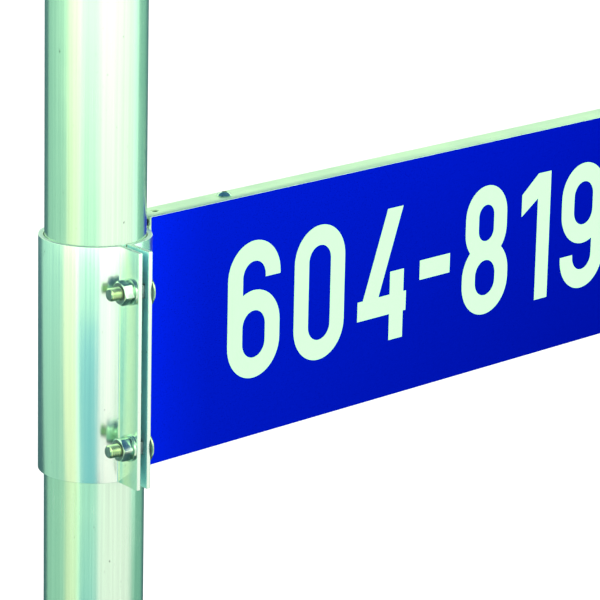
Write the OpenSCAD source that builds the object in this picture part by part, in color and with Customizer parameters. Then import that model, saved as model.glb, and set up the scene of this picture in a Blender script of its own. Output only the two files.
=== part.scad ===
// Signpost with a cantilevered street sign.
// A round aluminium post carries a split clamp, which two bolts draw tight round it.
// The clamp's tongue reaches into a hollow sign, which two screws and two set screws hold.
// The origin is on the post's axis at ground level. +Z is up, +X runs along the sign
// away from the post, and the sign's front faces -Y.

/* [Post] */
// Outside diameter of the post tube
post_d = 60.3; // [48.3:0.1:76.1]
// Wall of the post tube
post_wall = 2.5; // [2:0.1:5]
// Height of the post tube above the ground
post_above = 2500; // [1500:10:4000]
// Length of the post tube set in the ground
post_buried = 500; // [300:10:900]

/* [Post cap] */
// Wall of the cap's skirt
cap_wall = 2.2; // [1.5:0.1:4]
// Depth of the cap's skirt down the post
cap_skirt = 28; // [15:1:60]
// Rise of the cap's domed top
cap_rise = 9; // [4:1:25]
// Clearance between the cap and the post
cap_gap = 0.15; // [0.1:0.05:0.5]

/* [Ground anchor] */
// Diameter of the anchor rod through the post's foot
anchor_d = 12; // [8:1:20]
// Length of the anchor rod
anchor_l = 260; // [150:10:500]
// Height of the rod above the post's lower end
anchor_up = 90; // [40:5:200]
// Clearance of the rod in its holes
anchor_gap = 0.3; // [0.1:0.1:1]

/* [Clamp] */
// Clearance between the post and the clamp ring
clamp_gap = 0.6; // [0.2:0.1:1]
// Wall of the clamp ring
clamp_wall = 3; // [2.5:0.1:6]
// How much shorter than the sign the clamp is, at its top and again at its bottom
clamp_inset = 5.75; // [4:0.25:8]
// Drop from the post's upper end to the clamp's upper edge
clamp_drop = 250; // [100:5:900]
// Direction of the split, seen from above and counted from the sign's direction
split_angle = -100; // [-140:5:-70]
// Width of the split between the two flanges
split_w = 4.2; // [2:0.1:8]
// Thickness of each flange
flange_t = 2.7; // [2:0.1:6]
// Reach of each flange beyond the ring
flange_l = 19.6; // [19.5:0.1:30]
// Radius of the small rounding on the profile's outer corners
edge_r = 0.5; // [0.2:0.1:1]

/* [Clamp bolts] */
// Nominal diameter of the carriage bolts
bolt_d = 8; // [6:1:8]
// Length of the bolts under the head
bolt_l = 25; // [20:1:40]
// Distance of the bolts' axes beyond the clamp ring
bolt_out = 11.5; // [10.5:0.1:13]
// Distance from the clamp's upper and lower edges to the bolts
bolt_edge = 24.4; // [12:0.1:40]
// Clearance between a bolt and its round hole, on the diameter
bolt_hole_gap = 1; // [0.4:0.1:2]
// Width across the square neck under the head
neck_w = 8; // [6:0.1:9]
// Length of the square neck
neck_l = 4.2; // [3:0.1:6]
// Clearance between the neck and its square hole, on the width
neck_gap = 0.6; // [0.2:0.1:1]
// Diameter of the domed head
head_d = 20.6; // [14:0.1:21]
// Height of the domed head
head_h = 4.9; // [3:0.1:6]
// Width across the flats of the nuts
nut_af = 13; // [10:1:15]
// Height of the nuts
nut_h = 6.8; // [4:0.1:9]
// Clearance between a bolt and the nut's bore, on the diameter
nut_gap = 0.1; // [0.05:0.05:0.3]
// Outside diameter of the washers
washer_d = 16; // [14:0.5:18]
// Thickness of the washers
washer_t = 1.6; // [1:0.1:3]
// Clearance between a bolt and its washer, on the diameter
washer_gap = 0.4; // [0.2:0.1:1]
// Turn of the upper nut about its bolt
nut_turn_upper = 12; // [0:1:59]
// Turn of the lower nut about its bolt
nut_turn_lower = 52; // [0:1:59]

/* [Sign] */
// Length of the hollow sign profile
sign_l = 700; // [400:10:1500]
// Height of the sign
sign_h = 155.5; // [152:0.5:260]
// Thickness of the hollow profile
sign_t = 18; // [15:0.5:24]
// Wall of the hollow profile
sign_wall = 2; // [1.5:0.1:3]
// Free distance between the clamp ring and the sign's end
sign_gap = 2.8; // [1:0.1:10]
// Thickness of the blue reflective film on each face
film_t = 0.3; // [0.1:0.1:0.5]
// Bare margin round the film
film_margin = 0.4; // [0.2:0.1:3]

/* [Tongue] */
// Length of the clamp's tongue inside the sign
tongue_l = 88; // [85:1:200]
// Wall of the tongue
tongue_wall = 2.6; // [2:0.1:3]
// Clearance between the tongue and each of the sign's faces
tongue_gap = 0.3; // [0.2:0.1:0.5]

/* [Sign screws] */
// Distance of the set screws from the sign's end
set_x = 12; // [10:1:20]
// Nominal diameter of the set screws
set_d = 5; // [4:1:6]
// Length of the set screws
set_l = 16; // [12:1:30]
// Distance of the button-head screws from the sign's end
button_x = 71; // [50:1:75]
// Nominal diameter of the button-head screws
button_d = 5; // [4:1:6]
// Length of the button-head screws under the head
button_l = 20; // [12:1:30]
// Diameter of the button heads
button_head_d = 9.5; // [8:0.1:11]
// Height of the button heads
button_head_h = 2.6; // [2:0.1:4]
// Width across the flats of the hexagon sockets
socket_af = 3; // [2:0.5:4]
// Clearance between each screw and its hole, on the diameter
screw_gap = 0.1; // [0.05:0.05:0.4]

/* [Sign end cap] */
// Thickness of the end cap's outer plate
end_plate_t = 3; // [2:0.5:6]
// Depth of the end cap's plug inside the sign
plug_l = 14; // [8:1:30]
// Wall of the plug
plug_wall = 2; // [1.5:0.1:3]
// Clearance between the plug and the sign
plug_gap = 0.15; // [0.1:0.05:0.3]

/* [Numerals] */
// Height of the numerals
num_h = 88; // [60:1:100]
// Width of a round numeral
num_w = 46; // [36:1:56]
// Stroke of the numerals
num_s = 13; // [8:0.5:14]
// Space between numerals
num_space = 13; // [8:1:22]
// Distance from the sign's end to the first numeral
num_x = 66; // [40:1:120]
// Height of the numerals' feet above the sign's lower edge
num_up = 38; // [20:1:50]
// Thickness of the white film of the numerals
num_t = 0.2; // [0.1:0.1:0.4]

/* [Hidden] */
round_fn = 96;
fine_fn = 48;
post_r = post_d / 2;
post_top = post_above;
post_foot = -post_buried;
anchor_z = post_foot + anchor_up;
bore_r = post_r + clamp_gap;
ring_r = bore_r + clamp_wall;
clamp_h = sign_h - 2 * clamp_inset;
clamp_z = post_top - clamp_drop - clamp_h;
flange_end = ring_r + flange_l;
grip = split_w + 2 * flange_t;
bolt_levels = [clamp_z + clamp_h - bolt_edge, clamp_z + bolt_edge];
bolt_r = ring_r + bolt_out;
neck_hole = neck_w + neck_gap;
thread_chamfer = 0.9;
nut_chamfer = 0.7;
nut_chamfer_run = 1.2;
sign_x = ring_r + sign_gap;
sign_end = sign_x + sign_l;
sign_z = clamp_z - clamp_inset;
sign_top = sign_z + sign_h;
sign_corner = 0.8;
tongue_t = sign_t - 2 * sign_wall - 2 * tongue_gap;
tongue_end = sign_x + tongue_l;
port_d = tongue_t - tongue_wall;
set_depth = 0.4;
socket_depth = 1.6;
eps = 0.01;

// A bar lying along X from 0 to l, with both corners of its far end rounded
module end_rounded_bar(l, t, r) {
    translate([0, -t / 2]) square([l - r, t]);
    translate([l - r - eps, -t / 2 + r]) square([r + eps, t - 2 * r]);
    for (side = [-1, 1])
        translate([l - r, side * (t / 2 - r)]) circle(r = r, $fn = fine_fn);
}

// An upright rectangle, centred on its width and standing on its lower edge
module rounded_rectangle(w, h, r) {
    translate([-w / 2 + r, 0]) square([w - 2 * r, h]);
    translate([-w / 2, r]) square([w, h - 2 * r]);
    for (x = [-1, 1], y = [r, h - r])
        translate([x * (w / 2 - r), y]) circle(r = r, $fn = fine_fn);
}

// Runs a drawing of the sign's end, width across Y and height up Z, along +X
module along_sign(l) {
    rotate([90, 0, 90]) linear_extrude(l) children();
}

// ---- Post ----

module post_tube() {
    color("#c9d3d0")
    difference() {
        translate([0, 0, post_foot])
            cylinder(d = post_d, h = post_top - post_foot, $fn = round_fn);
        translate([0, 0, post_foot - 1])
            cylinder(d = post_d - 2 * post_wall, h = post_top - post_foot + 2, $fn = round_fn);
        translate([0, 0, anchor_z]) rotate([90, 0, 0])
            cylinder(d = anchor_d + 2 * anchor_gap, h = 2 * post_d, center = true, $fn = fine_fn);
    }
}

module post_cap() {
    inner_r = post_r + cap_gap;
    outer_r = inner_r + cap_wall;
    dome_r = (outer_r * outer_r + cap_rise * cap_rise) / (2 * cap_rise);
    color("#4a4e50")
    difference() {
        union() {
            translate([0, 0, post_top - cap_skirt])
                cylinder(r = outer_r, h = cap_skirt + cap_wall, $fn = round_fn);
            intersection() {
                translate([0, 0, post_top + cap_wall])
                    cylinder(r = outer_r, h = cap_rise, $fn = round_fn);
                translate([0, 0, post_top + cap_wall + cap_rise - dome_r])
                    sphere(r = dome_r, $fn = round_fn);
            }
        }
        translate([0, 0, post_top - cap_skirt - 1])
            cylinder(r = inner_r, h = cap_skirt + 1, $fn = round_fn);
    }
}

module ground_anchor() {
    color("#8d9092")
    translate([0, 0, anchor_z]) rotate([90, 0, 0])
        cylinder(d = anchor_d, h = anchor_l, center = true, $fn = fine_fn);
}

// ---- Clamp ----

module clamp_section() {
    difference() {
        union() {
            circle(r = ring_r, $fn = round_fn);
            rotate(split_angle) for (side = [-1, 1])
                translate([0, side * (split_w + flange_t) / 2])
                    end_rounded_bar(flange_end, flange_t, edge_r);
            end_rounded_bar(tongue_end, tongue_t, edge_r);
        }
        circle(r = bore_r, $fn = round_fn);
        rotate(split_angle) translate([0, -split_w / 2]) square([flange_end + 1, split_w]);
        tongue_hollows();
    }
}

// Two hollows of the tongue, either side of the screw port in its middle stretch
module tongue_hollows() {
    hollow_w = tongue_t - 2 * tongue_wall;
    ports = [sign_x + set_x, sign_x + button_x];
    from = [ports[0] + port_d / 2, ports[1] + port_d / 2];
    to = [ports[1] - port_d / 2, tongue_end - tongue_wall];
    for (i = [0, 1])
        if (to[i] > from[i])
            translate([from[i], -hollow_w / 2]) square([to[i] - from[i], hollow_w]);
    translate([ports[0], 0]) circle(d = set_d + screw_gap, $fn = fine_fn);
    translate([ports[1], 0]) circle(d = button_d + screw_gap, $fn = fine_fn);
}

// Puts its children on a bolt's axis at height z, +Z towards the bolt's head
module on_bolt(z) {
    translate([0, 0, z]) rotate([0, 0, split_angle]) translate([bolt_r, 0, 0])
        rotate([-90, 0, 0]) children();
}

module clamp_profile() {
    color("#c4d0cc")
    difference() {
        translate([0, 0, clamp_z]) linear_extrude(clamp_h) clamp_section();
        for (z = bolt_levels) on_bolt(z) {
            translate([0, 0, -grip]) cylinder(d = bolt_d + bolt_hole_gap, h = grip, $fn = fine_fn);
            translate([-neck_hole / 2, -neck_hole / 2, 0]) cube([neck_hole, neck_hole, grip]);
        }
    }
}

module carriage_bolt() {
    dome_r = (head_d * head_d / 4 + head_h * head_h) / (2 * head_h);
    translate([0, 0, grip / 2]) intersection() {
        cylinder(d = head_d, h = head_h, $fn = round_fn);
        translate([0, 0, head_h - dome_r]) sphere(r = dome_r, $fn = round_fn);
    }
    translate([-neck_w / 2, -neck_w / 2, grip / 2 - neck_l])
        cube([neck_w, neck_w, neck_l + eps]);
    translate([0, 0, grip / 2 - bolt_l + thread_chamfer])
        cylinder(d = bolt_d, h = bolt_l - thread_chamfer + eps, $fn = fine_fn);
    translate([0, 0, grip / 2 - bolt_l])
        cylinder(d1 = bolt_d - 2 * thread_chamfer, d2 = bolt_d, h = thread_chamfer, $fn = fine_fn);
}

module flat_washer() {
    translate([0, 0, -grip / 2 - washer_t]) difference() {
        cylinder(d = washer_d, h = washer_t, $fn = fine_fn);
        translate([0, 0, -1]) cylinder(d = bolt_d + washer_gap, h = washer_t + 2, $fn = fine_fn);
    }
}

module hexagon_nut(turn) {
    corner_d = nut_af / cos(30);
    face_d = corner_d - 2 * nut_chamfer_run;
    translate([0, 0, -grip / 2 - washer_t - nut_h]) difference() {
        intersection() {
            rotate(turn) cylinder(d = corner_d, h = nut_h, $fn = 6);
            union() {
                cylinder(d1 = face_d, d2 = corner_d + eps, h = nut_chamfer, $fn = fine_fn);
                translate([0, 0, nut_chamfer])
                    cylinder(d = corner_d + eps, h = nut_h - 2 * nut_chamfer, $fn = fine_fn);
                translate([0, 0, nut_h - nut_chamfer])
                    cylinder(d1 = corner_d + eps, d2 = face_d, h = nut_chamfer, $fn = fine_fn);
            }
        }
        translate([0, 0, -1]) cylinder(d = bolt_d + nut_gap, h = nut_h + 2, $fn = fine_fn);
    }
}

module clamp_bolt_upper() { color("#b9bdb6") on_bolt(bolt_levels[0]) carriage_bolt(); }
module clamp_bolt_lower() { color("#b9bdb6") on_bolt(bolt_levels[1]) carriage_bolt(); }
module clamp_washer_upper() { color("#b3b8b2") on_bolt(bolt_levels[0]) flat_washer(); }
module clamp_washer_lower() { color("#b3b8b2") on_bolt(bolt_levels[1]) flat_washer(); }
module clamp_nut_upper() { color("#a9aea8") on_bolt(bolt_levels[0]) hexagon_nut(nut_turn_upper); }
module clamp_nut_lower() { color("#a9aea8") on_bolt(bolt_levels[1]) hexagon_nut(nut_turn_lower); }

// ---- Sign ----

module sign_profile() {
    color("#cfd8d2")
    difference() {
        translate([sign_x, 0, sign_z]) along_sign(sign_l) difference() {
            rounded_rectangle(sign_t, sign_h, sign_corner);
            translate([-sign_t / 2 + sign_wall, sign_wall])
                square([sign_t - 2 * sign_wall, sign_h - 2 * sign_wall]);
        }
        translate([sign_x + set_x, 0, sign_z - 1])
            cylinder(d = set_d + screw_gap, h = sign_h + 2, $fn = fine_fn);
        translate([sign_x + button_x, 0, sign_z - 1])
            cylinder(d = button_d + screw_gap, h = sign_h + 2, $fn = fine_fn);
    }
}

module sign_end_cap() {
    plug_w = sign_t - 2 * sign_wall - 2 * plug_gap;
    plug_h = sign_h - 2 * sign_wall - 2 * plug_gap;
    color("#b7bcba")
    translate([0, 0, sign_z]) {
        translate([sign_end, 0, 0]) along_sign(end_plate_t)
            rounded_rectangle(sign_t, sign_h, sign_corner);
        translate([sign_end - plug_l, 0, sign_wall + plug_gap]) along_sign(plug_l + eps) difference() {
            rounded_rectangle(plug_w, plug_h, sign_corner);
            translate([0, plug_wall]) rounded_rectangle(plug_w - 2 * plug_wall, plug_h - 2 * plug_wall, sign_corner);
        }
    }
}

// One face's film, from the sign's face outwards along -Y
module face_film() {
    translate([sign_x + film_margin, -sign_t / 2 - film_t, sign_z + film_margin])
        cube([sign_l - 2 * film_margin, film_t, sign_h - 2 * film_margin]);
}

// Turns its children, made for the front face, round to the back face
module on_back() {
    translate([sign_x + sign_end, 0, 0]) rotate([0, 0, 180]) children();
}

module sign_film_front() { color("#0a2bd6") face_film(); }
module sign_film_back() { color("#0a2bd6") on_back() face_film(); }

// ---- Numerals ----

// A bar w wide and h high, standing on its lower edge, with fully round ends
module stadium(w, h) {
    r = min(w, h) / 2;
    translate([-max(w - h, 0) / 2 - (w > h ? 0 : r), w > h ? 0 : r])
        square([w > h ? w - h : w, w > h ? h : h - w]);
    for (side = [-1, 1])
        translate([side * max(w - h, 0) / 2, h / 2 + side * max(h - w, 0) / 2]) circle(r = r, $fn = round_fn);
}

// A closed loop of the numerals' stroke, w wide and h high
module loop(w, h) {
    difference() {
        stadium(w, h);
        translate([0, num_s]) stadium(w - 2 * num_s, h - 2 * num_s);
    }
}

module digit_0() { loop(num_w, num_h); }

module digit_8() {
    lower_h = num_h * 0.57;
    loop(num_w, lower_h);
    translate([0, lower_h - num_s]) loop(num_w * 0.9, num_h - lower_h + num_s);
}

module digit_6() {
    bowl_h = num_h * 0.64;
    difference() {
        union() {
            stadium(num_w, bowl_h);
            difference() {
                stadium(num_w, num_h);
                translate([0, num_s]) stadium(num_w - 2 * num_s, num_h - 2 * num_s);
                translate([-num_w / 2 + num_s, bowl_h / 2]) square([num_w, num_h * 0.72 - bowl_h / 2]);
                translate([-num_w, -1]) square([2 * num_w, bowl_h / 2 + 1]);
            }
        }
        translate([0, num_s]) stadium(num_w - 2 * num_s, bowl_h - 2 * num_s);
    }
}

module digit_9() {
    translate([0, num_h]) rotate(180) digit_6();
}

module digit_1() {
    flag = num_w * 0.36;
    flag_drop = flag * 0.75;
    square([num_s, num_h]);
    polygon([[num_s / 2, num_h], [0, num_h], [-flag, num_h - flag_drop],
             [-flag, num_h - flag_drop - num_s * 1.15], [num_s / 2, num_h - num_s]]);
}

module digit_4() {
    bar_y = num_h * 0.2;
    stem_x = num_w * 0.16;
    lean = num_s * 1.12;
    translate([-num_w / 2, bar_y]) square([num_w, num_s]);
    translate([stem_x, 0]) square([num_s, num_h * 0.52]);
    polygon([[-num_w / 2, bar_y], [-num_w / 2 + lean, bar_y],
             [num_w * 0.08 + lean, num_h], [num_w * 0.08, num_h]]);
}

module digit_dash() {
    translate([-num_w * 0.32, num_h * 0.4]) square([num_w * 0.64, num_s]);
}

// Each numeral's shape and the width that it takes up
row = ["6", "0", "4", "-", "8", "1", "9", "-", "0", "6"];
function numeral_w(c) = c == "-" ? num_w * 0.64 : c == "1" ? num_w * 0.36 + num_s : num_w;
function numeral_mid(i) =
    i == 0 ? numeral_w(row[0]) / 2
           : numeral_mid(i - 1) + (numeral_w(row[i - 1]) + numeral_w(row[i])) / 2 + num_space;

module numeral(c) {
    if (c == "0") digit_0();
    if (c == "1") translate([(num_w * 0.36 - num_s) / 2, 0]) digit_1();
    if (c == "4") digit_4();
    if (c == "6") digit_6();
    if (c == "8") digit_8();
    if (c == "9") digit_9();
    if (c == "-") digit_dash();
}

// The row, as far as the face has room for it
module face_numerals() {
    room = sign_l - num_x - num_space;
    translate([sign_x + num_x, -sign_t / 2 - film_t, sign_z + num_up]) rotate([90, 0, 0])
        linear_extrude(num_t) for (i = [0 : len(row) - 1])
            if (numeral_mid(i) + numeral_w(row[i]) / 2 < room)
                translate([numeral_mid(i), 0]) numeral(row[i]);
}

module numerals_front() { color("#e8fbef") face_numerals(); }
module numerals_back() { color("#e8fbef") on_back() face_numerals(); }

// ---- Sign screws ----

// Puts its children on a screw's axis on the sign's upper or lower side, +Z outwards
module on_sign_side(x, top) {
    translate([sign_x + x, 0, top ? sign_top : sign_z]) rotate([top ? 0 : 180, 0, 0]) children();
}

module hexagon_socket() {
    translate([0, 0, -socket_depth]) cylinder(d = socket_af / cos(30), h = socket_depth + 1, $fn = 6);
}

module button_screw() {
    dome_r = (button_head_d * button_head_d / 4 + button_head_h * button_head_h) / (2 * button_head_h);
    difference() {
        union() {
            intersection() {
                cylinder(d = button_head_d, h = button_head_h, $fn = fine_fn);
                translate([0, 0, button_head_h - dome_r]) sphere(r = dome_r, $fn = round_fn);
            }
            translate([0, 0, -button_l]) cylinder(d = button_d, h = button_l + eps, $fn = fine_fn);
        }
        translate([0, 0, button_head_h]) hexagon_socket();
    }
}

module set_screw() {
    difference() {
        translate([0, 0, -set_depth - set_l]) cylinder(d = set_d, h = set_l, $fn = fine_fn);
        translate([0, 0, -set_depth]) hexagon_socket();
    }
}

module button_screw_top() { color("#a9aea8") on_sign_side(button_x, true) button_screw(); }
module button_screw_bottom() { color("#a9aea8") on_sign_side(button_x, false) button_screw(); }
module set_screw_top() { color("#8f9591") on_sign_side(set_x, true) set_screw(); }
module set_screw_bottom() { color("#8f9591") on_sign_side(set_x, false) set_screw(); }

post_tube();
post_cap();
ground_anchor();
clamp_profile();
clamp_bolt_upper();
clamp_bolt_lower();
clamp_washer_upper();
clamp_washer_lower();
clamp_nut_upper();
clamp_nut_lower();
sign_profile();
sign_end_cap();
sign_film_front();
sign_film_back();
numerals_front();
numerals_back();
button_screw_top();
button_screw_bottom();
set_screw_top();
set_screw_bottom();
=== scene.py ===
import math

import bpy
from mathutils import Matrix, Vector


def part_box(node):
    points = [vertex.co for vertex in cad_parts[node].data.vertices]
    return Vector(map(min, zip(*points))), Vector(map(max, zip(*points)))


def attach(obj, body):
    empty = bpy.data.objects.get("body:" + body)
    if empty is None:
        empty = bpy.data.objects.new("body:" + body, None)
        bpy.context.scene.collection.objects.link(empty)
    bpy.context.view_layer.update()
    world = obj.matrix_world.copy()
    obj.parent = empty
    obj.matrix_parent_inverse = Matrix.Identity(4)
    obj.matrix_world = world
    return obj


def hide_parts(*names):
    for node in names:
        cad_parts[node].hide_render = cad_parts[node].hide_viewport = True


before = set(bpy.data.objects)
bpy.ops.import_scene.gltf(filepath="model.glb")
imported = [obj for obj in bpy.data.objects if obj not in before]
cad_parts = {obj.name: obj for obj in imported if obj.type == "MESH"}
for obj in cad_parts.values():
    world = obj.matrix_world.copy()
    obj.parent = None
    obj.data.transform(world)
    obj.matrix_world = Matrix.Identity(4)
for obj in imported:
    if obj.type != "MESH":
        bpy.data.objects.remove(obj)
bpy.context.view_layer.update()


# ---- View ----
# A long lens looks down a little on the clamp from the front of the sign and left of it, so
# that the post stands on the left and the sign runs away to the right.
clamp_low, clamp_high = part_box("clamp_profile")
view_side = math.radians(-133.14)
view_distance = 1.971
view_rise = 0.501
view_heading = math.radians(-46.67)
view_pitch = math.radians(15.32)
view_roll = math.radians(1.27)
view_lens = 206.7

bpy.ops.object.camera_add(
    location=(
        view_distance * math.cos(view_side),
        view_distance * math.sin(view_side),
        clamp_high.z + view_rise,
    )
)
camera = bpy.context.object
camera.name = "view"
camera.rotation_euler = (
    Matrix.Rotation(view_heading, 3, "Z")
    @ Matrix.Rotation(math.pi / 2 - view_pitch, 3, "X")
    @ Matrix.Rotation(view_roll, 3, "Z")
).to_euler()
camera.data.sensor_width = 36
camera.data.lens = view_lens
bpy.context.scene.camera = camera
bpy.context.scene.view_settings.view_transform = "Standard"


# ---- Studio floor and walls ----
# A white floor under the foot of the post and white walls. What the metal mirrors of the
# room is dark and cool up to eye height, pale in a band above it and dark blue overhead.
post_low, post_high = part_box("post_tube")

bpy.ops.object.select_all(action="DESELECT")
bpy.ops.mesh.primitive_plane_add(size=160, location=(0, 0, post_low.z))
floor = bpy.context.object
floor.name = "floor"
floor.visible_glossy = False
floor_paint = bpy.data.materials.new("floor_paint")
floor_paint.use_nodes = True
paint_shader = floor_paint.node_tree.nodes["Principled BSDF"]
paint_shader.inputs["Base Color"].default_value = (0.97, 0.97, 0.97, 1)
paint_shader.inputs["Roughness"].default_value = 0.9
floor.data.materials.append(floor_paint)

walls = bpy.data.worlds.new("walls")
walls.use_nodes = True
bpy.context.scene.world = walls
nodes, links = walls.node_tree.nodes, walls.node_tree.links
ray = nodes.new("ShaderNodeLightPath")
direction = nodes.new("ShaderNodeTexCoord")
split = nodes.new("ShaderNodeSeparateXYZ")
height = nodes.new("ShaderNodeMapRange")
mirrored = nodes.new("ShaderNodeValToRGB")
pick = nodes.new("ShaderNodeMix")
pick.data_type = "RGBA"
pick.inputs["A"].default_value = (1.25, 1.25, 1.25, 1)
height.inputs["From Min"].default_value = -1
height.inputs["From Max"].default_value = 1
stops = mirrored.color_ramp.elements
stops[0].position, stops[0].color = 0.3, (0.04, 0.12, 0.14, 1)
stops[1].position, stops[1].color = 0.92, (0.06, 0.19, 0.38, 1)
for position, colour in (
    (0.42, (0.08, 0.20, 0.22, 1)),
    (0.55, (0.14, 0.32, 0.32, 1)),
    (0.61, (1.5, 1.9, 1.35, 1)),
    (0.71, (1.5, 1.9, 1.35, 1)),
    (0.78, (0.07, 0.21, 0.4, 1)),
):
    stops.new(position).color = colour
links.new(direction.outputs["Generated"], split.inputs[0])
links.new(split.outputs["Z"], height.inputs["Value"])
links.new(height.outputs["Result"], mirrored.inputs["Fac"])
links.new(mirrored.outputs["Color"], pick.inputs["B"])
links.new(ray.outputs["Is Glossy Ray"], pick.inputs["Factor"])
links.new(pick.outputs["Result"], nodes["Background"].inputs["Color"])


# ---- Studio lights ----
# Tall softboxes round the post, each between two turns from the view's side. The upright
# metal shows each one as a band. The second row stands clear of the first one's planes.
softbox_distance = 1.7
second_row = 1.78


def softbox(name, turn_from, turn_to, colour, low_z=0.2, high_z=3.6, distance=softbox_distance):
    """Puts up one light, as bright as its colour, between two turns and two heights."""
    half = math.radians(turn_to - turn_from) / 2
    angle = view_side + math.radians(turn_from) + half
    lamp = bpy.data.lights.new(name, "AREA")
    lamp.shape = "RECTANGLE"
    lamp.size = 2 * distance * math.tan(half)
    lamp.size_y = high_z - low_z
    lamp.color = colour
    lamp.energy = math.pi * lamp.size * lamp.size_y
    holder = bpy.data.objects.new(name, lamp)
    bpy.context.scene.collection.objects.link(holder)
    outwards = Vector((math.cos(angle), math.sin(angle), 0))
    holder.location = distance * outwards + Vector((0, 0, (low_z + high_z) / 2))
    holder.rotation_euler = (-outwards).to_track_quat("-Z", "Y").to_euler()
    holder.visible_camera = False


softbox("softbox_main", 8, 90, (1.1, 1, 0.9))
softbox("softbox_front", -38, 8, (0.23, 0.56, 0.56))
softbox("softbox_front_high", -38, 8, (0.27, 0.22, 0), 1.97, distance=second_row)
softbox("softbox_warm", -66, -33, (0.93, 0.95, 0.55))
softbox("softbox_left", -130, -66, (0.35, 0.6, 0.41))
softbox("softbox_right", 90, 140, (0.18, 0.4, 0.26))
softbox("softbox_right_high", 90, 105, (0.8, 1, 0.85), 1.86, distance=second_row)


# ---- Post ----
# A drawn aluminium tube, sawn square at both ends. The anchor rod passes through two holes
# near its foot.
post_radius = post_high.x
post_length = post_high.z - post_low.z
post_wall = 0.0025
post_sides = 160
post_edge = 0.0003
anchor_low, anchor_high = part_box("ground_anchor")
anchor_radius = anchor_high.x
anchor_z = (anchor_low.z + anchor_high.z) / 2
anchor_gap = 0.0003
line_depth = 0.0002
square_on = 0.98


def pick_only(piece):
    """Makes the piece the one selected, active object, out of edit mode."""
    bpy.ops.object.select_all(action="DESELECT")
    piece.select_set(True)
    bpy.context.view_layer.objects.active = piece


def apply_modifiers(piece):
    """Makes what the piece's modifiers do part of its mesh."""
    pick_only(piece)
    for modifier in list(piece.modifiers):
        bpy.ops.object.modifier_apply(modifier=modifier.name)


def combine(piece, other, operation="DIFFERENCE"):
    """Cuts the other object out of the piece, joins it on or keeps what both share, and removes it."""
    change = piece.modifiers.new("combine", "BOOLEAN")
    change.operation = operation
    change.solver = "EXACT"
    change.object = other
    apply_modifiers(piece)
    bpy.data.objects.remove(other)


def soften(piece, width, segments=2, angle=30):
    """Rounds every edge of the piece that is sharper than the angle."""
    change = piece.modifiers.new("soften", "BEVEL")
    change.width = width
    change.segments = segments
    change.limit_method = "ANGLE"
    change.angle_limit = math.radians(angle)
    apply_modifiers(piece)


def add_rod(radius, length, middle, vertices=48, turn=(0, 0, 0)):
    """Adds a plain cylinder along Z, turned as asked, for shaping or cutting."""
    bpy.ops.object.select_all(action="DESELECT")
    bpy.ops.mesh.primitive_cylinder_add(
        vertices=vertices, radius=radius, depth=length, location=middle, rotation=turn
    )
    return bpy.context.object


def add_block(low, high):
    """Adds a plain block between two corners, for shaping or cutting."""
    low, high = Vector(low), Vector(high)
    bpy.ops.object.select_all(action="DESELECT")
    bpy.ops.mesh.primitive_cube_add(size=1, location=(low + high) / 2, scale=high - low)
    bpy.ops.object.transform_apply(location=True, rotation=True, scale=True)
    return bpy.context.object


def complete(piece, name, body, node, materials, which=None):
    """Names the finished piece, dresses it, ties it to its body and hides the part it stands for.

    Where there are several materials, which gives a face's own place in their list."""
    pick_only(piece)
    bpy.ops.object.transform_apply(location=True, rotation=True, scale=True)
    bpy.ops.object.shade_smooth_by_angle(angle=math.radians(35))
    piece.name = name
    piece.data.name = name
    piece.data.materials.clear()
    for material in materials:
        piece.data.materials.append(material)
    if which:
        for face in piece.data.polygons:
            face.material_index = which(face)
    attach(piece, body)
    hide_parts(node)


def new_group(name, inputs, outputs):
    """A shader node group, with inputs as (label, kind, value) and outputs as (label, kind)."""
    group = bpy.data.node_groups.new(name, "ShaderNodeTree")
    for label, kind, value in inputs:
        group.interface.new_socket(label, in_out="INPUT", socket_type=kind).default_value = value
    for label, kind in outputs:
        group.interface.new_socket(label, in_out="OUTPUT", socket_type=kind)
    return group, group.nodes.new("NodeGroupInput"), group.nodes.new("NodeGroupOutput")


def metal_surface_group():
    """Lines run where Stretch is small, Cloud is slow patches, and Speck is rare small marks."""
    group, given, result = new_group(
        "metal_surface",
        [("Stretch", "NodeSocketVector", (1, 1, 1)), ("Marks", "NodeSocketFloat", 1)],
        [("Lines", "NodeSocketFloat"), ("Cloud", "NodeSocketFloat"), ("Speck", "NodeSocketFloat")],
    )
    nodes, links = group.nodes, group.links
    place = nodes.new("ShaderNodeTexCoord")
    mapping = nodes.new("ShaderNodeMapping")
    links.new(place.outputs["Object"], mapping.inputs["Vector"])
    links.new(given.outputs["Stretch"], mapping.inputs["Scale"])
    lines = nodes.new("ShaderNodeTexNoise")
    lines.inputs["Scale"].default_value = 1
    lines.inputs["Detail"].default_value = 4
    links.new(mapping.outputs["Vector"], lines.inputs["Vector"])
    links.new(lines.outputs["Fac"], result.inputs["Lines"])
    cloud = nodes.new("ShaderNodeTexNoise")
    cloud.inputs["Scale"].default_value = 26
    cloud.inputs["Detail"].default_value = 3
    links.new(place.outputs["Object"], cloud.inputs["Vector"])
    links.new(cloud.outputs["Fac"], result.inputs["Cloud"])
    speck = nodes.new("ShaderNodeTexNoise")
    speck.inputs["Scale"].default_value = 420
    speck.inputs["Detail"].default_value = 1
    links.new(place.outputs["Object"], speck.inputs["Vector"])
    rare = nodes.new("ShaderNodeMapRange")
    rare.inputs["From Min"].default_value = 0.76
    rare.inputs["From Max"].default_value = 0.82
    links.new(speck.outputs["Fac"], rare.inputs["Value"])
    amount = nodes.new("ShaderNodeMath")
    amount.operation = "MULTIPLY"
    links.new(rare.outputs["Result"], amount.inputs[0])
    links.new(given.outputs["Marks"], amount.inputs[1])
    links.new(amount.outputs[0], result.inputs["Speck"])
    return group


metal_surface = metal_surface_group()


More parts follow.
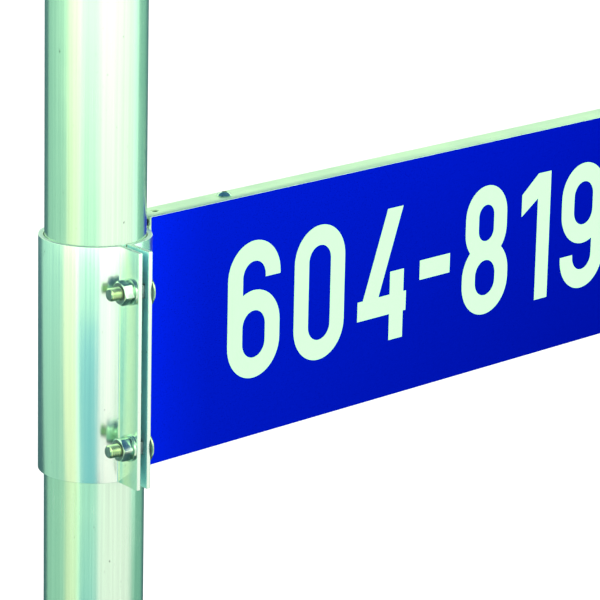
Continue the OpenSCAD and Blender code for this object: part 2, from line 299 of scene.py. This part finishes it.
def metal(name, light, dark, stretch, rough, relief, marks=1.0):
    """A lined metal, light on the crests and dark in the lines, with rough as (least, most)."""
    material = bpy.data.materials.new(name)
    material.use_nodes = True
    nodes, links = material.node_tree.nodes, material.node_tree.links
    shader = nodes["Principled BSDF"]
    shader.inputs["Metallic"].default_value = 1
    surface = nodes.new("ShaderNodeGroup")
    surface.node_tree = metal_surface
    surface.inputs["Stretch"].default_value = stretch
    surface.inputs["Marks"].default_value = marks
    tone = nodes.new("ShaderNodeValToRGB")
    tone.color_ramp.elements[0].position = 0.3
    tone.color_ramp.elements[0].color = (*dark, 1)
    tone.color_ramp.elements[1].position = 0.7
    tone.color_ramp.elements[1].color = (*light, 1)
    links.new(surface.outputs["Lines"], tone.inputs["Fac"])
    marked = nodes.new("ShaderNodeMix")
    marked.data_type = "RGBA"
    marked.inputs["B"].default_value = (*[0.5 * channel for channel in dark], 1)
    links.new(surface.outputs["Speck"], marked.inputs["Factor"])
    links.new(tone.outputs["Color"], marked.inputs["A"])
    links.new(marked.outputs["Result"], shader.inputs["Base Color"])
    both = nodes.new("ShaderNodeMath")
    both.operation = "ADD"
    links.new(surface.outputs["Lines"], both.inputs[0])
    links.new(surface.outputs["Cloud"], both.inputs[1])
    dull = nodes.new("ShaderNodeMapRange")
    dull.inputs["From Min"].default_value = 0.7
    dull.inputs["From Max"].default_value = 1.3
    dull.inputs["To Min"].default_value, dull.inputs["To Max"].default_value = rough
    links.new(both.outputs[0], dull.inputs["Value"])
    links.new(dull.outputs["Result"], shader.inputs["Roughness"])
    bump = nodes.new("ShaderNodeBump")
    bump.inputs["Strength"].default_value = relief
    bump.inputs["Distance"].default_value = line_depth
    links.new(surface.outputs["Lines"], bump.inputs["Height"])
    links.new(bump.outputs["Normal"], shader.inputs["Normal"])
    return material


drawn_metal = metal(
    "drawn_aluminium", (0.6, 0.74, 0.62), (0.54, 0.68, 0.56), (700, 700, 4), (0.2, 0.28), 0.1
)
sawn_metal = metal(
    "sawn_aluminium", (0.8, 0.93, 0.82), (0.66, 0.8, 0.7), (120, 1500, 1500), (0.42, 0.6), 0.5, 0
)

post = add_rod(post_radius, post_length, (post_low + post_high) / 2, post_sides)
combine(post, add_rod(post_radius - post_wall, 2 * post_length, (0, 0, 0), post_sides))
cross_hole = add_rod(
    anchor_radius + anchor_gap, 4 * post_radius, (0, 0, anchor_z), turn=(math.pi / 2, 0, 0)
)
combine(post, cross_hole)
soften(post, post_edge)


def looks_up_or_down(face):
    """Picks the faces that a saw leaves square to an upright piece."""
    return int(abs(face.normal.z) > square_on)


complete(
    post, "post", "post", "post_tube", (drawn_metal, sawn_metal), looks_up_or_down
)


# ---- Post cap ----
# A moulded plastic cap with a low dome. Its skirt grips the post's top and keeps the rain out.
cap_low, cap_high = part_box("post_cap")
cap_radius = cap_high.x
cap_wall = 0.0022
cap_rise = 0.009
cap_rim = 0.0008
cap_gap = 0.0001
weld_distance = 0.000004
grain_depth = 0.0001


def lathe(profile, steps=64):
    """Spins (radius, height) points about Z. One that starts and ends on the axis is closed."""
    mesh = bpy.data.meshes.new("turned")
    edges = [(i, i + 1) for i in range(len(profile) - 1) if profile[i][0] or profile[i + 1][0]]
    mesh.from_pydata([(radius, 0, z) for radius, z in profile], edges, [])
    piece = bpy.data.objects.new("turned", mesh)
    bpy.context.scene.collection.objects.link(piece)
    pick_only(piece)
    bpy.ops.object.mode_set(mode="EDIT")
    bpy.ops.mesh.select_all(action="SELECT")
    bpy.ops.mesh.spin(steps=steps, angle=2 * math.pi, center=(0, 0, 0), axis=(0, 0, 1))
    bpy.ops.mesh.select_all(action="SELECT")
    bpy.ops.mesh.remove_doubles(threshold=weld_distance)
    bpy.ops.mesh.normals_make_consistent(inside=False)
    bpy.ops.object.mode_set(mode="OBJECT")
    return piece


def dome(radius, rise, rim_z, count=14):
    """Profile of a dome, from its rim at rim_z in to its crown on the axis."""
    ball = (radius**2 + rise**2) / (2 * rise)
    lean = math.asin(radius / ball)
    turns = [lean * (1 - i / count) for i in range(count + 1)]
    return [(ball * math.sin(turn), rim_z + rise - ball + ball * math.cos(turn)) for turn in turns]


def fine_grain_group():
    """Grain is the fine pebbling of moulded plastic and film, Tint is its slow change of tone."""
    group, given, result = new_group(
        "fine_grain",
        [("Size", "NodeSocketFloat", 900), ("Patch", "NodeSocketFloat", 20)],
        [("Grain", "NodeSocketFloat"), ("Tint", "NodeSocketFloat")],
    )
    nodes, links = group.nodes, group.links
    place = nodes.new("ShaderNodeTexCoord")
    for label, size in (("Grain", "Size"), ("Tint", "Patch")):
        noise = nodes.new("ShaderNodeTexNoise")
        noise.inputs["Detail"].default_value = 3
        links.new(place.outputs["Object"], noise.inputs["Vector"])
        links.new(given.outputs[size], noise.inputs["Scale"])
        links.new(noise.outputs["Fac"], result.inputs[label])
    return group


fine_grain = fine_grain_group()


def grained(name, light, dark, rough, relief, size, patch):
    """Plastic or film with a fine grain, with rough as (least, most)."""
    material = bpy.data.materials.new(name)
    material.use_nodes = True
    nodes, links = material.node_tree.nodes, material.node_tree.links
    shader = nodes["Principled BSDF"]
    surface = nodes.new("ShaderNodeGroup")
    surface.node_tree = fine_grain
    surface.inputs["Size"].default_value = size
    surface.inputs["Patch"].default_value = patch
    tone = nodes.new("ShaderNodeMix")
    tone.data_type = "RGBA"
    tone.inputs["A"].default_value = (*dark, 1)
    tone.inputs["B"].default_value = (*light, 1)
    links.new(surface.outputs["Tint"], tone.inputs["Factor"])
    links.new(tone.outputs["Result"], shader.inputs["Base Color"])
    dull = nodes.new("ShaderNodeMapRange")
    dull.inputs["From Min"].default_value = 0.3
    dull.inputs["From Max"].default_value = 0.7
    dull.inputs["To Min"].default_value, dull.inputs["To Max"].default_value = rough
    links.new(surface.outputs["Grain"], dull.inputs["Value"])
    links.new(dull.outputs["Result"], shader.inputs["Roughness"])
    bump = nodes.new("ShaderNodeBump")
    bump.inputs["Strength"].default_value = relief
    bump.inputs["Distance"].default_value = grain_depth
    links.new(surface.outputs["Grain"], bump.inputs["Height"])
    links.new(bump.outputs["Normal"], shader.inputs["Normal"])
    return material


cap_plastic = grained(
    "cap_plastic", (0.075, 0.085, 0.09), (0.05, 0.058, 0.062), (0.38, 0.55), 0.3, 1400, 14
)

cap_shoulder = post_high.z + cap_wall
cap_outside = [
    (cap_radius - cap_rim, cap_low.z),
    (cap_radius, cap_low.z + cap_rim),
    (cap_radius, cap_shoulder - cap_rim),
    (cap_radius - cap_rim, cap_shoulder),
    *dome(cap_radius - 2 * cap_rim, cap_rise, cap_shoulder),
]
cap_inside = [
    (0, post_high.z + cap_gap),
    (cap_radius - cap_wall, post_high.z + cap_gap),
    (cap_radius - cap_wall, cap_low.z + cap_rim / 2),
    (cap_radius - cap_wall + cap_rim / 2, cap_low.z),
    (cap_radius - cap_rim, cap_low.z),
]
cap = lathe(cap_outside + cap_inside, 128)
complete(cap, "cap", "post", "post_cap", (cap_plastic,))


# ---- Ground anchor ----
# A galvanised round steel bar through the foot of the post. Cast into the footing, it stops
# the post from turning or pulling out.
anchor_chamfer = 0.0012
anchor_half = anchor_high.y


def darken(shader, source, share):
    """Multiplies the shader's colour by what the source gives, as strongly as the share says."""
    nodes, links = shader.id_data.nodes, shader.id_data.links
    blend = nodes.new("ShaderNodeMix")
    blend.data_type = "RGBA"
    blend.blend_type = "MULTIPLY"
    blend.inputs["Factor"].default_value = share
    links.new(shader.inputs["Base Color"].links[0].from_socket, blend.inputs["A"])
    links.new(source, blend.inputs["B"])
    links.new(blend.outputs["Result"], shader.inputs["Base Color"])


def galvanised_metal():
    """Zinc-coated steel: grey, matt and mottled with crystals."""
    material = metal(
        "galvanised_steel", (0.55, 0.58, 0.58), (0.42, 0.45, 0.46), (90, 90, 90), (0.42, 0.62), 0.4
    )
    nodes, links = material.node_tree.nodes, material.node_tree.links
    place = nodes.new("ShaderNodeTexCoord")
    crystals = nodes.new("ShaderNodeTexVoronoi")
    crystals.inputs["Scale"].default_value = 260
    links.new(place.outputs["Object"], crystals.inputs["Vector"])
    darken(nodes["Principled BSDF"], crystals.outputs["Distance"], 0.45)
    return material


anchor = lathe([
    (0, -anchor_half),
    (anchor_radius - anchor_chamfer, -anchor_half),
    (anchor_radius, -anchor_half + anchor_chamfer),
    (anchor_radius, anchor_half - anchor_chamfer),
    (anchor_radius - anchor_chamfer, anchor_half),
    (0, anchor_half),
])
anchor.location.z = anchor_z
anchor.rotation_euler.x = math.pi / 2
complete(anchor, "anchor", "post", "ground_anchor", (galvanised_metal(),))


# ---- Clamp ----
# One aluminium extrusion: the split ring, its two flanges and the tongue inside the sign. It
# is sawn to length and drilled, and each flange meets the ring in a small radius.
ring_radius = -clamp_low.x
clamp_gap = 0.0006
clamp_bore = post_radius + clamp_gap
clamp_edge = 0.00022
split_angle = math.radians(-100)
split_half = 0.0021
flange_thick = 0.0027
flange_length = 0.0196
flange_reach = ring_radius + flange_length
flange_corner = 0.0005
root_radius = 0.0012
ring_step, root_step, corner_step = 2, 12, 22
sign_low, sign_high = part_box("sign_profile")
sign_wall = 0.002
tongue_gap = 0.0003
tongue_half = sign_high.y - sign_wall - tongue_gap
tongue_wall = 0.0026
screw_hole = 0.00255
screw_drill_length = 0.4
screw_x = {
    name: (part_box(name + "_screw_top")[0].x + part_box(name + "_screw_top")[1].x) / 2
    for name in ("set", "button")
}


def arc(centre, radius, start, end, step):
    """Points along an arc, both ends included, at most a step in degrees apart."""
    count = max(2, math.ceil(abs(end - start) / math.radians(step)))
    turns = [start + (end - start) * i / count for i in range(count + 1)]
    return [(centre[0] + radius * math.cos(t), centre[1] + radius * math.sin(t)) for t in turns]


def flange_outline():
    """One flange from the ring out and back to the bore, +X along the split, on its +Y side.

    It also gives the turn at which the ring's own round stops."""
    outer = split_half + flange_thick
    root_x = math.sqrt((ring_radius + root_radius) ** 2 - (outer + root_radius) ** 2)
    root_turn = math.atan2(outer + root_radius, root_x)
    end_x = flange_reach - flange_corner
    root = (root_x, outer + root_radius)
    outline = arc(root, root_radius, root_turn - math.pi, -math.pi / 2, root_step)
    outline += arc((end_x, outer - flange_corner), flange_corner, math.pi / 2, 0, corner_step)
    inner_corner = (end_x, split_half + flange_corner)
    outline += arc(inner_corner, flange_corner, 0, -math.pi / 2, corner_step)
    outline.append((math.sqrt(clamp_bore**2 - split_half**2), split_half))
    return outline, root_turn


def clamp_outline():
    """The whole section from above, counter-clockwise from the head side of the split."""
    turned = Matrix.Rotation(split_angle, 2)
    flange, root_turn = flange_outline()
    bore_turn = math.asin(split_half / clamp_bore)
    tongue_turn = math.asin(tongue_half / ring_radius)
    full = split_angle + 2 * math.pi
    outline = arc((0, 0), ring_radius, split_angle + root_turn, -tongue_turn, ring_step)[1:]
    outline += [(clamp_high.x, -tongue_half), (clamp_high.x, tongue_half)]
    outline += arc((0, 0), ring_radius, tongue_turn, full - root_turn, ring_step)
    outline += [tuple(turned @ Vector((x, -y))) for x, y in flange[1:]]
    bore = arc((0, 0), clamp_bore, full - bore_turn, split_angle + bore_turn, ring_step)
    outline += bore[1:-1]
    outline += [tuple(turned @ Vector(point)) for point in reversed(flange)]
    return outline


def extrude_outline(outline, low_z, high_z):
    """A solid with this outline, counter-clockwise, between two heights."""
    mesh = bpy.data.meshes.new("extruded")
    mesh.from_pydata([(x, y, low_z) for x, y in outline], [], [range(len(outline))])
    piece = bpy.data.objects.new("extruded", mesh)
    bpy.context.scene.collection.objects.link(piece)
    pick_only(piece)
    bpy.ops.object.mode_set(mode="EDIT")
    bpy.ops.mesh.select_all(action="SELECT")
    bpy.ops.mesh.extrude_region_move(TRANSFORM_OT_translate={"value": (0, 0, high_z - low_z)})
    bpy.ops.mesh.select_all(action="SELECT")
    bpy.ops.mesh.normals_make_consistent(inside=False)
    bpy.ops.object.mode_set(mode="OBJECT")
    return piece


clamp = extrude_outline(clamp_outline(), clamp_low.z, clamp_high.z)
soften(clamp, clamp_edge)
hollow_half = tongue_half - tongue_wall
port_half = tongue_half - tongue_wall / 2
for from_x, to_x in (
    (screw_x["set"] + port_half, screw_x["button"] - port_half),
    (screw_x["button"] + port_half, clamp_high.x - tongue_wall),
):
    hollow = add_block((from_x, -hollow_half, clamp_low.z - 1), (to_x, hollow_half, clamp_high.z + 1))
    combine(clamp, hollow)
for x in screw_x.values():
    clamp_middle = (x, 0, (clamp_low.z + clamp_high.z) / 2)
    combine(clamp, add_rod(screw_hole, screw_drill_length, clamp_middle, 40))

bolt_beyond_ring = 0.0115
bolt_out = ring_radius + bolt_beyond_ring
bolt_z = {
    place: (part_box("clamp_bolt_" + place)[0].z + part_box("clamp_bolt_" + place)[1].z) / 2
    for place in ("upper", "lower")
}
bolt_hole_radius = 0.0045
neck_hole_half = 0.0043
drill_length = 0.02


def bolt_axes(place):
    """A bolt's own axes: origin in the middle of the split, +Z towards the bolt's head."""
    return (
        Matrix.Translation((0, 0, bolt_z[place]))
        @ Matrix.Rotation(split_angle, 4, "Z")
        @ Matrix.Translation((bolt_out, 0, 0))
        @ Matrix.Rotation(-math.pi / 2, 4, "X")
    )


for place in bolt_z:
    drill = add_rod(bolt_hole_radius, drill_length, (0, 0, -drill_length / 2), 40)
    drill.matrix_world = bolt_axes(place) @ drill.matrix_world
    combine(clamp, drill)
    punch = add_block(
        (-neck_hole_half, -neck_hole_half, 0), (neck_hole_half, neck_hole_half, drill_length)
    )
    punch.matrix_world = bolt_axes(place)
    combine(clamp, punch)

extruded_metal = metal(
    "extruded_aluminium", (0.82, 0.94, 0.84), (0.72, 0.87, 0.78), (900, 900, 5), (0.17, 0.27), 0.08
)
shaded_metal = metal(
    "shaded_aluminium", (0.56, 0.94, 0.96), (0.5, 0.86, 0.88), (900, 900, 5), (0.5, 0.6), 0.08
)
to_split = Matrix.Rotation(-split_angle, 3, "Z")
face_tolerance = 0.0001


def clamp_finish(face):
    """Sawn above and below, shaded on the two faces that look at each other across the split."""
    middle, normal = to_split @ face.center, to_split @ face.normal
    in_split = abs(middle.y) < split_half + face_tolerance and middle.x > clamp_bore
    if in_split and abs(normal.y) > square_on:
        return 2
    return looks_up_or_down(face)


complete(
    clamp, "clamp", "sign_arm", "clamp_profile",
    (extruded_metal, sawn_metal, shaded_metal), clamp_finish,
)


# ---- Clamp bolts ----
# Stainless M8 carriage bolts: a domed head, a square neck held in the flange and a rolled
# thread whose chamfered end stands out past the nut.
bolt_radius = 0.004
bolt_length = 0.025
flange_face = split_half + flange_thick
neck_half = 0.004
neck_length = 0.0042
neck_corner = 0.0006
neck_into_head = 0.0003
head_radius = 0.0103
head_height = 0.0049
head_rim = 0.0007
rod_below_head = 0.001
bolt_pitch = 0.00125
bolt_thread_depth = 0.0007
bolt_chamfer = 0.0009
end_on = 0.97


def threaded_rod(radius, low_z, high_z, pitch, depth, chamfer, sides=40, rows_a_turn=10):
    """A rod with a rolled thread and a chamfer at its low end, in so many sides and rows."""
    rows = math.ceil((high_z - low_z) / pitch * rows_a_turn)
    bpy.ops.object.select_all(action="DESELECT")
    bpy.ops.mesh.primitive_grid_add(x_subdivisions=sides, y_subdivisions=rows, size=1)
    rod = bpy.context.object
    for vertex in rod.data.vertices:
        share = vertex.co.x + 0.5
        along = (vertex.co.y + 0.5) * (high_z - low_z)
        groove = depth * (0.5 - 0.5 * math.cos(2 * math.pi * (along / pitch - share)))
        reach = min(radius - groove, radius - chamfer + along)
        turn = 2 * math.pi * share
        vertex.co = (reach * math.cos(turn), reach * math.sin(turn), low_z + along)
    pick_only(rod)
    bpy.ops.object.mode_set(mode="EDIT")
    bpy.ops.mesh.select_all(action="SELECT")
    bpy.ops.mesh.remove_doubles(threshold=weld_distance)
    bpy.ops.mesh.select_all(action="DESELECT")
    bpy.ops.mesh.select_mode(type="EDGE")
    bpy.ops.mesh.select_non_manifold()
    bpy.ops.mesh.edge_face_add()
    bpy.ops.mesh.select_all(action="SELECT")
    bpy.ops.mesh.normals_make_consistent(inside=False)
    bpy.ops.object.mode_set(mode="OBJECT")
    return rod


stainless = metal(
    "stainless_steel", (0.64, 0.84, 0.66), (0.42, 0.57, 0.48), (260, 260, 260), (0.13, 0.26), 0.06
)
bolt_steel = metal(
    "bolt_steel", (0.68, 0.82, 0.48), (0.42, 0.53, 0.34), (260, 260, 260), (0.14, 0.28), 0.06
)
# Painted shade: a dark copy of the steel for the bolts' and nuts' cut ends and the shanks between the
# flanges, for the shade and the dark room they mirror.
shade_painted_steel = metal(
    "shade_painted_steel", (0.25, 0.32, 0.32), (0.14, 0.18, 0.18), (420, 420, 420), (0.3, 0.5), 0.3
)

bolt_direction = bolt_axes("upper").to_3x3() @ Vector((0, 0, 1))


def gets_painted_shade(face):
    """Picks the faces at a bolt's or a nut's cut end, away from the bolt's head, that get painted
    shade.
    """
    return int(face.normal.dot(bolt_direction) < -end_on)


for place in bolt_z:
    bolt = threaded_rod(
        bolt_radius, flange_face - bolt_length, flange_face - rod_below_head,
        bolt_pitch, bolt_thread_depth, bolt_chamfer,
    )
    neck = add_block(
        (-neck_half, -neck_half, flange_face - neck_length),
        (neck_half, neck_half, flange_face + neck_into_head),
    )
    soften(neck, neck_corner)
    combine(bolt, neck, "UNION")
    head = lathe([
        (0, flange_face),
        (head_radius - head_rim / 2, flange_face),
        (head_radius, flange_face + head_rim / 2),
        *dome(head_radius, head_height - head_rim, flange_face + head_rim),
    ])
    combine(bolt, head, "UNION")
    bolt.matrix_world = bolt_axes(place)
    to_bolt = bolt_axes(place).inverted()
    # What lies between the flanges' outer faces gets the same painted shade as the cut end, for the
    # flanges' shade on the shank.
    complete(
        bolt, "bolt_" + place, "sign_arm", "clamp_bolt_" + place,
        (bolt_steel, shade_painted_steel),
        lambda face: int(abs((to_bolt @ face.center).z) < flange_face or gets_painted_shade(face)),
    )


# ---- Washers and nuts ----
# Each bolt is drawn up on a flat washer by a hexagon nut, chamfered on both faces and left
# at whatever turn the spanner stopped.
washer_bore = 0.0042
washer_radius = 0.008
washer_thick = 0.0016
washer_edge = 0.0002
nut_flat = 0.0065
nut_corner = nut_flat / math.cos(math.pi / 6)
nut_height = 0.0068
nut_chamfer = 0.0007
nut_chamfer_run = 0.0012
nut_bore = 0.00405
nut_edge = 0.00018
barrel_spare = 0.00001
nut_turn = {"upper": math.radians(12), "lower": math.radians(52)}
washer_top = -flange_face
nut_top = washer_top - washer_thick

for place in bolt_z:
    washer = add_rod(washer_radius, washer_thick, (0, 0, washer_top - washer_thick / 2), 64)
    combine(washer, add_rod(washer_bore, drill_length, (0, 0, washer_top), 48))
    soften(washer, washer_edge)
    washer.matrix_world = bolt_axes(place) @ washer.matrix_world
    complete(
        washer, "washer_" + place, "sign_arm", "clamp_washer_" + place, (stainless,)
    )

    nut = add_rod(nut_corner, nut_height, (0, 0, nut_top - nut_height / 2), 6)
    pick_only(nut)
    bpy.ops.transform.rotate(
        value=-nut_turn[place] - math.pi / 6, orient_axis="Z", center_override=(0, 0, 0)
    )
    bpy.ops.object.transform_apply(location=True, rotation=True, scale=True)
    barrel = lathe([
        (0, nut_top),
        (nut_corner - nut_chamfer_run, nut_top),
        (nut_corner + barrel_spare, nut_top - nut_chamfer),
        (nut_corner + barrel_spare, nut_top - nut_height + nut_chamfer),
        (nut_corner - nut_chamfer_run, nut_top - nut_height),
        (0, nut_top - nut_height),
    ])
    combine(nut, barrel, "INTERSECT")
    combine(nut, add_rod(nut_bore, 2 * drill_length, (0, 0, nut_top), 48))
    soften(nut, nut_edge)
    nut.matrix_world = bolt_axes(place)
    # The nut's cut end gets the painted shade.
    complete(
        nut, "nut_" + place, "sign_arm", "clamp_nut_" + place,
        (stainless, shade_painted_steel), gets_painted_shade,
    )


# ---- Sign profile ----
# A long hollow aluminium box with two-millimetre walls, sawn to length and drilled through
# its upper and lower edges for the four screws.
sign_corner = 0.0006
sign_edge = 0.00015
wall = Vector((0, sign_wall, sign_wall))
past_ends = Vector((1, 0, 0))

sign = add_block(sign_low, sign_high)
soften(sign, sign_corner, 3)
combine(sign, add_block(sign_low + wall - past_ends, sign_high - wall + past_ends))
soften(sign, sign_edge, 1, 80)
for x in screw_x.values():
    sign_middle = (x, 0, (sign_low.z + sign_high.z) / 2)
    combine(sign, add_rod(screw_hole, screw_drill_length, sign_middle, 40))
box_metal = metal(
    "matt_aluminium", (0.8, 0.95, 0.7), (0.71, 0.88, 0.63), (5, 700, 700), (0.4, 0.52), 0.06
)


def looks_along_sign(face):
    """Picks the faces that a saw leaves at the sign's two ends."""
    return int(abs(face.normal.x) > square_on)


complete(
    sign, "sign", "sign_arm", "sign_profile", (box_metal, sawn_metal),
    looks_along_sign,
)


# ---- Sign end cap ----
# A moulded plastic plate that closes the sign's far end. Its hollow plug grips the inside of
# the profile.
end_low, end_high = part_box("sign_end_cap")
end_gap = Vector((0, 0.00015, 0.00015))
end_edge = 0.0007
plug_wall = Vector((0, 0.002, 0.002))
plug_edge = 0.0006
plug_into_plate = 0.0005
past_plug = Vector((0.01, 0, 0))

end_cap = add_block((sign_high.x, end_low.y, end_low.z), end_high)
soften(end_cap, end_edge, 3)
plug_low = Vector((end_low.x, sign_low.y, sign_low.z)) + wall + end_gap
plug_high = Vector((sign_high.x + plug_into_plate, sign_high.y, sign_high.z)) - wall - end_gap
plug = add_block(plug_low, plug_high)
soften(plug, plug_edge)
combine(end_cap, plug, "UNION")
hollow_high = plug_high - plug_wall - Vector((plug_into_plate, 0, 0))
combine(end_cap, add_block(plug_low + plug_wall - past_plug, hollow_high))
end_plastic = grained(
    "end_cap_plastic", (0.48, 0.52, 0.5), (0.41, 0.45, 0.43), (0.4, 0.55), 0.3, 1400, 14
)
complete(end_cap, "end_cap", "sign_arm", "sign_end_cap", (end_plastic,))


# ---- Films and numerals ----
# Blue reflective sheeting on both faces, with a metallised layer under its clear top, and
# numerals cut from white sheeting laid on it.
film_painted_shade_end = 0.45

blue_film = grained(
    "blue_sheeting", (0, 0.018, 0.92), (0, 0.014, 0.8), (0.26, 0.34), 0.05, 1600, 420
)
blue_shader = blue_film.node_tree.nodes["Principled BSDF"]
blue_shader.inputs["Metallic"].default_value = 0.6
blue_shader.inputs["Specular IOR Level"].default_value = 0
blue_shader.inputs["Specular Tint"].default_value = (0, 0.05, 1, 1)


def paint_shade_by_place(shader, axis, low, high, tones):
    """Paints shade into the shader's colour along one axis, with tones as (share of the way, tone)."""
    nodes, links = shader.id_data.nodes, shader.id_data.links
    place = nodes.new("ShaderNodeTexCoord")
    axes = nodes.new("ShaderNodeSeparateXYZ")
    share = nodes.new("ShaderNodeMapRange")
    share.inputs["From Min"].default_value = low
    share.inputs["From Max"].default_value = high
    tone = nodes.new("ShaderNodeValToRGB")
    stops = tone.color_ramp.elements
    for position, _ in tones[1:-1]:
        stops.new(position)
    for stop, (position, value) in zip(stops, tones):
        stop.position, stop.color = position, (value, value, value, 1)
    links.new(place.outputs["Object"], axes.inputs[0])
    links.new(axes.outputs[axis], share.inputs["Value"])
    links.new(share.outputs["Result"], tone.inputs["Fac"])
    darken(shader, tone.outputs["Color"], 1)


# Painted light and shade on the blue film: brightest beside the post, darker towards the far end up to
# X = 0.45, and darker towards the lower edge.
tones_along = [(0, 0.86), (0.05, 0.72), (0.12, 0.6), (1, 0.47)]
paint_shade_by_place(blue_shader, "X", sign_low.x, film_painted_shade_end, tones_along)
paint_shade_by_place(blue_shader, "Z", sign_low.z, sign_high.z, [(0, 0.86), (1, 1)])
white_film = grained(
    "white_sheeting", (0.38, 0.68, 0.405), (0.375, 0.67, 0.4), (0.45, 0.55), 0.05, 1600, 60
)
white_shader = white_film.node_tree.nodes["Principled BSDF"]
white_shader.inputs["Specular IOR Level"].default_value = 0.15


def dress(node, material):
    """Gives a part that keeps its own shape its material."""
    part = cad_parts[node]
    part.data.materials.clear()
    part.data.materials.append(material)


for side in ("front", "back"):
    dress("sign_film_" + side, blue_film)
    dress("numerals_" + side, white_film)


# ---- Sign screws ----
# Two button-head and two headless stainless screws with hexagon sockets go through the
# sign's edges and bite into the clamp's tongue.
socket_flat = 0.0015
socket_corner = socket_flat / math.cos(math.pi / 6)
button_radius = 0.00475
button_rise = 0.0026
button_depth = 0.0016
button_reach = 0.02
button_rim = 0.0003
button_seat_edge = 0.0002
rod_into_head = 0.00055
screw_radius = 0.0025
screw_pitch = 0.0008
screw_thread_depth = 0.00045
screw_chamfer = 0.0006
set_low, set_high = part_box("set_screw_top")
set_length = set_high.z - set_low.z
set_depth = 0.0004
edge_axes = {
    "top": Matrix.Translation((0, 0, sign_high.z)),
    "bottom": Matrix.Translation((0, 0, sign_low.z)) @ Matrix.Rotation(math.pi, 4, "X"),
}


def screw_rod(low_z, high_z):
    """The threaded rod of one of the sign's screws."""
    return threaded_rod(
        screw_radius, low_z, high_z, screw_pitch, screw_thread_depth, screw_chamfer, 32, 8
    )


for edge, axes in edge_axes.items():
    button = screw_rod(-button_reach, rod_into_head)
    head = lathe([
        (0, 0),
        (button_radius - button_seat_edge, 0),
        *dome(button_radius, button_rise - button_rim, button_rim),
    ])
    combine(button, head, "UNION")
    combine(button, add_rod(socket_corner, 2 * button_depth, (0, 0, button_rise), 6))
    button.matrix_world = axes @ Matrix.Translation((screw_x["button"], 0, 0))
    complete(
        button, "button_screw_" + edge + "_metal", "sign_arm",
        "button_screw_" + edge, (stainless,),
    )

    grub = screw_rod(-set_depth - set_length, -set_depth)
    combine(grub, add_rod(socket_corner, 2 * button_depth, (0, 0, -set_depth), 6))
    grub.matrix_world = axes @ Matrix.Translation((screw_x["set"], 0, 0))
    complete(
        grub, "set_screw_" + edge + "_metal", "sign_arm",
        "set_screw_" + edge, (stainless,),
    )
